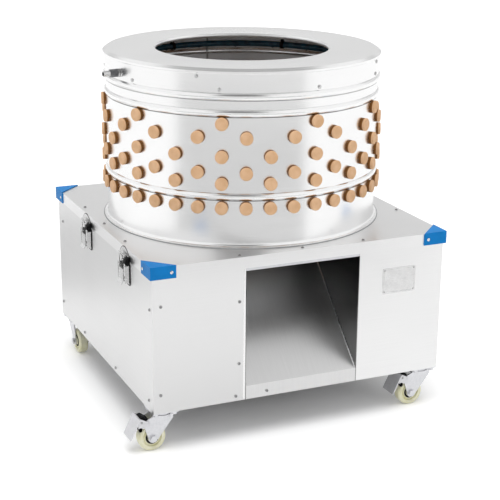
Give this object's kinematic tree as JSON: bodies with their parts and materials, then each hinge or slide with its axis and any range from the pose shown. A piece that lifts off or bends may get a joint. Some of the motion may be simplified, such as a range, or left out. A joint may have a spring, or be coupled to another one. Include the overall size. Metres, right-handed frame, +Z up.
{
  "type": "poultry plucker",
  "caption": "Drum poultry plucker: a beaded steel drum lined with rubber fingers on a hinged cover, over a spinning finger plate in a castor cabinet with a front feather chute.",
  "frame": {"origin": "on the floor, below the middle of the whole part's box", "axes": "+Z up, -Y out of the front with the chute, +X to the right seen from the front"},
  "size_m": [0.729, 0.718, 0.776],
  "materials": {
    "stainless": "polished",
    "zinc": "satin",
    "cast_iron": "matte",
    "finger_rubber": "matte",
    "belt_rubber": "matte",
    "guard_plastic": "gloss",
    "water_pipe": "gloss",
    "black_plastic": "matte",
    "switch_plastic": "matte",
    "green_plastic": "gloss",
    "red_plastic": "gloss",
    "wheel_nylon": "satin"
  },
  "bodies": {
    "cabinet": {"base_frame": "zinc", "left_panel": "stainless", "right_panel": "stainless", "back_panel": "stainless", "front_left_panel": "stainless", "front_right_panel": "stainless", "chute": "stainless", "base_pan": "stainless", "bearing_bridge": "zinc", "spindle_housing": "cast_iron", "spindle_bearings": "zinc", "motor_body": "cast_iron", "motor_bracket": "zinc", "drive_belt": "belt_rubber", "frame_bolts": "zinc", "panel_screws": "zinc", "latch_bases": "zinc", "hinge_base_leaves": "zinc", "hinge_pins": "zinc", "castor_plates": "zinc", "switch_box": "switch_plastic"},
    "cover": {"top_cover": "stainless", "drum_shell": "stainless", "drum_head": "stainless", "drum_fingers": "finger_rubber", "water_ring": "water_pipe", "ring_clips": "black_plastic", "inlet_fitting": "cast_iron", "inlet_nut": "zinc", "cover_rivets": "zinc", "cover_screws": "zinc", "corner_guards": "guard_plastic", "latch_keepers": "zinc", "hinge_cover_leaves": "zinc"},
    "rotor": {"rotor_plate": "stainless", "rotor_fingers": "finger_rubber", "rotor_paddles": "finger_rubber", "rotor_hub": "cast_iron", "hub_nut": "zinc", "spindle": "zinc", "big_pulley": "cast_iron"},
    "motor_rotor": {"motor_shaft": "zinc", "small_pulley": "cast_iron"},
    "start_button": {"start_button": "green_plastic"},
    "stop_button": {"stop_button": "red_plastic"},
    "latch_lever_rear": {"latch_lever_rear": "zinc"},
    "latch_bail_rear": {"latch_bail_rear": "zinc"},
    "latch_lever_front": {"latch_lever_front": "zinc"},
    "latch_bail_front": {"latch_bail_front": "zinc"},
    "castor_fl": {"castor_fork_fl": "zinc"},
    "wheel_fl": {"castor_wheel_fl": "wheel_nylon"},
    "brake_fl": {"castor_pedal_fl": "zinc"},
    "castor_fr": {"castor_fork_fr": "zinc"},
    "wheel_fr": {"castor_wheel_fr": "wheel_nylon"},
    "brake_fr": {"castor_pedal_fr": "zinc"},
    "castor_bl": {"castor_fork_bl": "zinc"},
    "wheel_bl": {"castor_wheel_bl": "wheel_nylon"},
    "castor_br": {"castor_fork_br": "zinc"},
    "wheel_br": {"castor_wheel_br": "wheel_nylon"}
  },
  "joints": [
    {"name": "rotor_spin", "type": "hinge", "parent": "cabinet", "child": "rotor", "pos_m": [0.0175, -0.021, 0.42], "axis": [0, 0, 1], "continuous": true},
    {"name": "motor_spin", "type": "hinge", "parent": "cabinet", "child": "motor_rotor", "pos_m": [-0.2175, 0.039, 0.16], "axis": [0, 0, 1], "continuous": true},
    {"name": "cover_tilt", "type": "hinge", "parent": "cabinet", "child": "cover", "pos_m": [0.3595, -0.021, 0.38], "axis": [0, 1, 0], "range_deg": [0, 80]},
    {"name": "latch_rear_lever", "type": "hinge", "parent": "cabinet", "child": "latch_lever_rear", "pos_m": [-0.3215, 0.069, 0.36], "axis": [0, 1, 0], "range_deg": [0, 110]},
    {"name": "latch_rear_bail", "type": "hinge", "parent": "latch_lever_rear", "child": "latch_bail_rear", "pos_m": [-0.326, 0.069, 0.348], "axis": [0, 1, 0], "range_deg": [-125, 0]},
    {"name": "latch_front_lever", "type": "hinge", "parent": "cabinet", "child": "latch_lever_front", "pos_m": [-0.3215, -0.195, 0.36], "axis": [0, 1, 0], "range_deg": [0, 110]},
    {"name": "latch_front_bail", "type": "hinge", "parent": "latch_lever_front", "child": "latch_bail_front", "pos_m": [-0.326, -0.195, 0.348], "axis": [0, 1, 0], "range_deg": [-125, 0]},
    {"name": "swivel_fl", "type": "hinge", "parent": "cabinet", "child": "castor_fl", "pos_m": [-0.2885, -0.321, 0.078], "axis": [0, 0, 1], "continuous": true},
    {"name": "roll_fl", "type": "hinge", "parent": "castor_fl", "child": "wheel_fl", "pos_m": [-0.3125, -0.321, 0.03], "axis": [0, 1, 0], "continuous": true},
    {"name": "brake_fl", "type": "hinge", "parent": "castor_fl", "child": "brake_fl", "pos_m": [-0.3255, -0.321, 0.064], "axis": [0, -1, 0], "range_deg": [0, 10]},
    {"name": "swivel_fr", "type": "hinge", "parent": "cabinet", "child": "castor_fr", "pos_m": [0.3235, -0.321, 0.078], "axis": [0, 0, 1], "continuous": true},
    {"name": "roll_fr", "type": "hinge", "parent": "castor_fr", "child": "wheel_fr", "pos_m": [0.2995, -0.321, 0.03], "axis": [0, 1, 0], "continuous": true},
    {"name": "brake_fr", "type": "hinge", "parent": "castor_fr", "child": "brake_fr", "pos_m": [0.2865, -0.321, 0.064], "axis": [0, -1, 0], "range_deg": [0, 10]},
    {"name": "swivel_bl", "type": "hinge", "parent": "cabinet", "child": "castor_bl", "pos_m": [-0.2885, 0.279, 0.078], "axis": [0, 0, 1], "continuous": true},
    {"name": "roll_bl", "type": "hinge", "parent": "castor_bl", "child": "wheel_bl", "pos_m": [-0.2885, 0.255, 0.03], "axis": [1, 0, 0], "continuous": true},
    {"name": "swivel_br", "type": "hinge", "parent": "cabinet", "child": "castor_br", "pos_m": [0.3235, 0.279, 0.078], "axis": [0, 0, 1], "continuous": true},
    {"name": "roll_br", "type": "hinge", "parent": "castor_br", "child": "wheel_br", "pos_m": [0.3235, 0.255, 0.03], "axis": [1, 0, 0], "continuous": true},
    {"name": "start_press", "type": "slide", "parent": "cabinet", "child": "start_button", "axis": [0, -1, 0], "range_m": [0, 0.004], "stiffness_N_per_m": 400},
    {"name": "stop_press", "type": "slide", "parent": "cabinet", "child": "stop_button", "axis": [0, -1, 0], "range_m": [0, 0.004], "stiffness_N_per_m": 400}
  ],
  "couplings": [
    {"joint": "motor_spin", "follows": "rotor_spin", "ratio": 2.9048},
    {"joint": "latch_rear_bail", "follows": "latch_rear_lever", "ratio": -1.1},
    {"joint": "latch_front_bail", "follows": "latch_front_lever", "ratio": -1.1}
  ]
}
